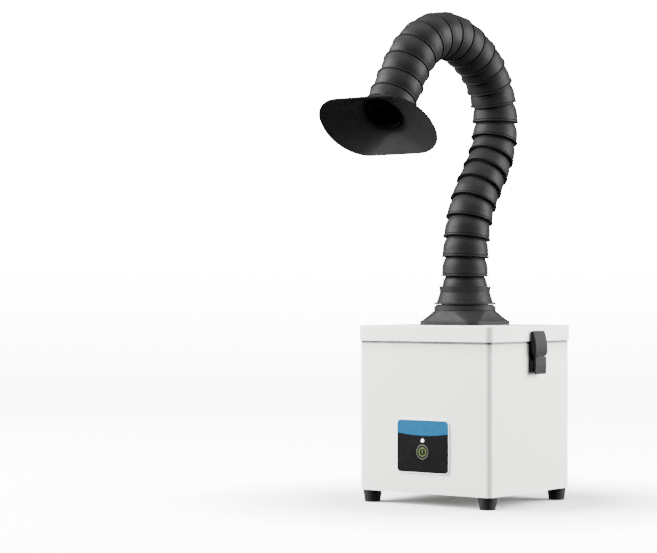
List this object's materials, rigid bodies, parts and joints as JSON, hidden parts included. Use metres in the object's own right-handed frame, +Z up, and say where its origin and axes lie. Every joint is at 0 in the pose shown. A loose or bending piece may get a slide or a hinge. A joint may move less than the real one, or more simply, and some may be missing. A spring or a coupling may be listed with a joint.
{
  "type": "solder fume extractor",
  "caption": "Benchtop solder fume extractor: filter cabinet with lift-off lid, side latches and a self-holding ball-jointed duct arm ending in a flared rectangular hood.",
  "frame": {"origin": "the middle of the cabinet on the surface that its feet stand on", "axes": "+Z up, -Y out of the front panel, +X towards the right-hand latch; the arm bends in the YZ plane"},
  "size_m": [0.2232, 0.3241, 0.6227],
  "materials": {
    "painted_steel": "fine textured off-white powder coat",
    "white_trim": "satin",
    "black_rubber": "matte",
    "zinc_steel": "zinc plated",
    "foam_seal": "closed-cell foam",
    "arm_plastic": "satin dark grey moulding",
    "hood_plastic": "satin dark grey moulding",
    "panel_print": "printed overlay, blue header over black",
    "button_plastic": "smooth cap with a lit ring",
    "led_lens": "milky lens",
    "circuit_board": "solder mask",
    "nylon": "natural nylon",
    "latch_plastic": "satin grey moulding",
    "filter_paper": "pleated glass paper in a frame",
    "carbon_bed": "granular activated carbon",
    "filter_wool": "polyester wool",
    "blower_plastic": "glass-filled moulding",
    "motor_steel": "machined",
    "black_metal": "black powder coat",
    "socket_plastic": "moulded socket"
  },
  "bodies": {
    "cabinet": {"cabinet_shell": "painted_steel", "rubber_feet": "black_rubber", "foot_screws": "zinc_steel", "panel_bezel": "white_trim", "panel_overlay": "panel_print", "led_lens": "led_lens", "control_board": "circuit_board", "board_standoffs": "nylon", "latch_bases": "latch_plastic", "filter_shelf": "zinc_steel", "shelf_brackets": "zinc_steel", "hepa_filter": "filter_paper", "carbon_filter": "carbon_bed", "prefilter_pad": "filter_wool", "blower_housing": "blower_plastic", "blower_cover": "blower_plastic", "fan_motor": "motor_steel", "m3_screws": "zinc_steel", "exhaust_grille": "black_metal", "power_inlet": "socket_plastic", "power_supply": "circuit_board"},
    "lid": {"lid_cap": "painted_steel", "lid_gasket": "foam_seal", "arm_flange": "arm_plastic", "flange_screws": "zinc_steel", "latch_catches": "latch_plastic"},
    "arm_base": {"swivel_collar": "arm_plastic", "swivel_retainer": "arm_plastic"},
    "arm_segment_01": {"arm_segment_01": "arm_plastic"},
    "arm_segment_02": {"arm_segment_02": "arm_plastic"},
    "arm_segment_03": {"arm_segment_03": "arm_plastic"},
    "arm_segment_04": {"arm_segment_04": "arm_plastic"},
    "arm_segment_05": {"arm_segment_05": "arm_plastic"},
    "arm_segment_06": {"arm_segment_06": "arm_plastic"},
    "arm_segment_07": {"arm_segment_07": "arm_plastic"},
    "arm_segment_08": {"arm_segment_08": "arm_plastic"},
    "arm_segment_09": {"arm_segment_09": "arm_plastic"},
    "arm_segment_10": {"arm_segment_10": "arm_plastic"},
    "arm_segment_11": {"arm_segment_11": "arm_plastic"},
    "arm_segment_12": {"arm_segment_12": "arm_plastic"},
    "arm_segment_13": {"arm_segment_13": "arm_plastic"},
    "arm_segment_14": {"arm_segment_14": "arm_plastic"},
    "arm_segment_15": {"arm_segment_15": "arm_plastic"},
    "arm_segment_16": {"arm_segment_16": "arm_plastic"},
    "arm_segment_17": {"arm_segment_17": "arm_plastic"},
    "arm_segment_18": {"arm_segment_18": "arm_plastic"},
    "arm_segment_19": {"arm_segment_19": "arm_plastic"},
    "arm_segment_20": {"arm_segment_20": "arm_plastic"},
    "arm_segment_21": {"arm_segment_21": "arm_plastic"},
    "arm_segment_22": {"arm_segment_22": "arm_plastic"},
    "arm_segment_23": {"arm_segment_23": "arm_plastic"},
    "hood": {"suction_hood": "hood_plastic"},
    "button": {"power_button": "button_plastic"},
    "fan_rotor": {"impeller": "blower_plastic", "motor_shaft": "motor_steel"},
    "hasp_right": {"latch_hasp_right": "latch_plastic"},
    "hasp_left": {"latch_hasp_left": "latch_plastic"},
    "lever_right": {"latch_lever_right": "latch_plastic"},
    "lever_left": {"latch_lever_left": "latch_plastic"}
  },
  "joints": [
    {"name": "lid_lift", "type": "slide", "parent": "cabinet", "child": "lid", "axis": [0, 0, 1], "range_m": [0, 0.025]},
    {"name": "arm_swivel", "type": "hinge", "parent": "lid", "child": "arm_base", "pos_m": [0, 0, 0.251], "axis": [0, 0, 1], "range_deg": [-180, 180]},
    {"name": "arm_joint_01", "type": "hinge", "parent": "arm_base", "child": "arm_segment_01", "pos_m": [0, 0, 0.272], "axis": [-1, 0, 0], "range_deg": [-15.5, 14.5]},
    {"name": "arm_joint_02", "type": "hinge", "parent": "arm_segment_01", "child": "arm_segment_02", "pos_m": [0, 0.00021, 0.2964], "axis": [1, 0, 0], "range_deg": [-12.5, 17.5]},
    {"name": "arm_joint_03", "type": "hinge", "parent": "arm_segment_02", "child": "arm_segment_03", "pos_m": [0, 0.00149, 0.32077], "axis": [-1, 0, 0], "range_deg": [-21, 9]},
    {"name": "arm_joint_04", "type": "hinge", "parent": "arm_segment_03", "child": "arm_segment_04", "pos_m": [0, 0.00531, 0.34486], "axis": [1, 0, 0], "range_deg": [-7.5, 22.5]},
    {"name": "arm_joint_05", "type": "hinge", "parent": "arm_segment_04", "child": "arm_segment_05", "pos_m": [0, 0.01224, 0.36826], "axis": [-1, 0, 0], "range_deg": [-25, 5]},
    {"name": "arm_joint_06", "type": "hinge", "parent": "arm_segment_05", "child": "arm_segment_06", "pos_m": [0, 0.02312, 0.3901], "axis": [1, 0, 0], "range_deg": [-6.5, 23.5]},
    {"name": "arm_joint_07", "type": "hinge", "parent": "arm_segment_06", "child": "arm_segment_07", "pos_m": [0, 0.03712, 0.41008], "axis": [-1, 0, 0], "range_deg": [-17, 13]},
    {"name": "arm_joint_08", "type": "hinge", "parent": "arm_segment_07", "child": "arm_segment_08", "pos_m": [0, 0.0518, 0.42957], "axis": [1, 0, 0], "range_deg": [-22.5, 7.5]},
    {"name": "arm_joint_09", "type": "hinge", "parent": "arm_segment_08", "child": "arm_segment_09", "pos_m": [0, 0.06382, 0.45081], "axis": [-1, 0, 0], "range_deg": [-0.5, 29.5]},
    {"name": "arm_joint_10", "type": "hinge", "parent": "arm_segment_09", "child": "arm_segment_10", "pos_m": [0, 0.07013, 0.47438], "axis": [1, 0, 0], "range_deg": [-29.5, 0.5]},
    {"name": "arm_joint_11", "type": "hinge", "parent": "arm_segment_10", "child": "arm_segment_11", "pos_m": [0, 0.07035, 0.49878], "axis": [-1, 0, 0], "range_deg": [-0.5, 29.5]},
    {"name": "arm_joint_12", "type": "hinge", "parent": "arm_segment_11", "child": "arm_segment_12", "pos_m": [0, 0.06444, 0.52245], "axis": [1, 0, 0], "range_deg": [-29.5, 0.5]},
    {"name": "arm_joint_13", "type": "hinge", "parent": "arm_segment_12", "child": "arm_segment_13", "pos_m": [0, 0.0528, 0.54389], "axis": [-1, 0, 0], "range_deg": [-1, 29]},
    {"name": "arm_joint_14", "type": "hinge", "parent": "arm_segment_13", "child": "arm_segment_14", "pos_m": [0, 0.03632, 0.56188], "axis": [1, 0, 0], "range_deg": [-29, 1]},
    {"name": "arm_joint_15", "type": "hinge", "parent": "arm_segment_14", "child": "arm_segment_15", "pos_m": [0, 0.01597, 0.57535], "axis": [-1, 0, 0], "range_deg": [-6, 24]},
    {"name": "arm_joint_16", "type": "hinge", "parent": "arm_segment_15", "child": "arm_segment_16", "pos_m": [0, -0.00623, 0.58547], "axis": [1, 0, 0], "range_deg": [-24.5, 5.5]},
    {"name": "arm_joint_17", "type": "hinge", "parent": "arm_segment_16", "child": "arm_segment_17", "pos_m": [0, -0.0298, 0.59178], "axis": [-1, 0, 0], "range_deg": [-0.5, 29.5]},
    {"name": "arm_joint_18", "type": "hinge", "parent": "arm_segment_17", "child": "arm_segment_18", "pos_m": [0, -0.0542, 0.592], "axis": [1, 0, 0], "range_deg": [-29.5, 0.5]},
    {"name": "arm_joint_19", "type": "hinge", "parent": "arm_segment_18", "child": "arm_segment_19", "pos_m": [0, -0.07788, 0.58609], "axis": [-1, 0, 0], "range_deg": [-0.5, 29.5]},
    {"name": "arm_joint_20", "type": "hinge", "parent": "arm_segment_19", "child": "arm_segment_20", "pos_m": [0, -0.09932, 0.57445], "axis": [1, 0, 0], "range_deg": [-29, 1]},
    {"name": "arm_joint_21", "type": "hinge", "parent": "arm_segment_20", "child": "arm_segment_21", "pos_m": [0, -0.11731, 0.55797], "axis": [-1, 0, 0], "range_deg": [-5, 25]},
    {"name": "arm_joint_22", "type": "hinge", "parent": "arm_segment_21", "child": "arm_segment_22", "pos_m": [0, -0.13216, 0.53861], "axis": [1, 0, 0], "range_deg": [-19.5, 10.5]},
    {"name": "arm_joint_23", "type": "hinge", "parent": "arm_segment_22", "child": "arm_segment_23", "pos_m": [0, -0.14545, 0.51815], "axis": [-1, 0, 0], "range_deg": [-16.5, 13.5]},
    {"name": "hood_tilt", "type": "hinge", "parent": "arm_segment_23", "child": "hood", "pos_m": [0, -0.15927, 0.49804], "axis": [1, 0, 0], "range_deg": [-7, 23]},
    {"name": "button_press", "type": "slide", "parent": "cabinet", "child": "button", "axis": [0, 1, 0], "range_m": [0, 0.0012], "stiffness_N_per_m": 900},
    {"name": "fan_spin", "type": "hinge", "parent": "cabinet", "child": "fan_rotor", "pos_m": [0, 0.004, 0.07], "axis": [0, 0, 1], "continuous": true},
    {"name": "hasp_right_swing", "type": "hinge", "parent": "cabinet", "child": "hasp_right", "pos_m": [0.1043, 0.008, 0.193], "axis": [0, 1, 0], "range_deg": [0, 30.5]},
    {"name": "lever_right_flip", "type": "hinge", "parent": "hasp_right", "child": "lever_right", "pos_m": [0.1087, 0.008, 0.188], "axis": [0, -1, 0], "range_deg": [0, 70.5]},
    {"name": "hasp_left_swing", "type": "hinge", "parent": "cabinet", "child": "hasp_left", "pos_m": [-0.1043, 0.008, 0.193], "axis": [0, -1, 0], "range_deg": [0, 30.5]},
    {"name": "lever_left_flip", "type": "hinge", "parent": "hasp_left", "child": "lever_left", "pos_m": [-0.1087, 0.008, 0.188], "axis": [0, 1, 0], "range_deg": [0, 70.5]}
  ],
  "couplings": [
    {"joint": "hasp_right_swing", "follows": "lid_lift", "rad_per_m": 20.944},
    {"joint": "lever_right_flip", "follows": "lid_lift", "rad_per_m": 48.869},
    {"joint": "hasp_left_swing", "follows": "lid_lift", "rad_per_m": 20.944},
    {"joint": "lever_left_flip", "follows": "lid_lift", "rad_per_m": 48.869}
  ]
}
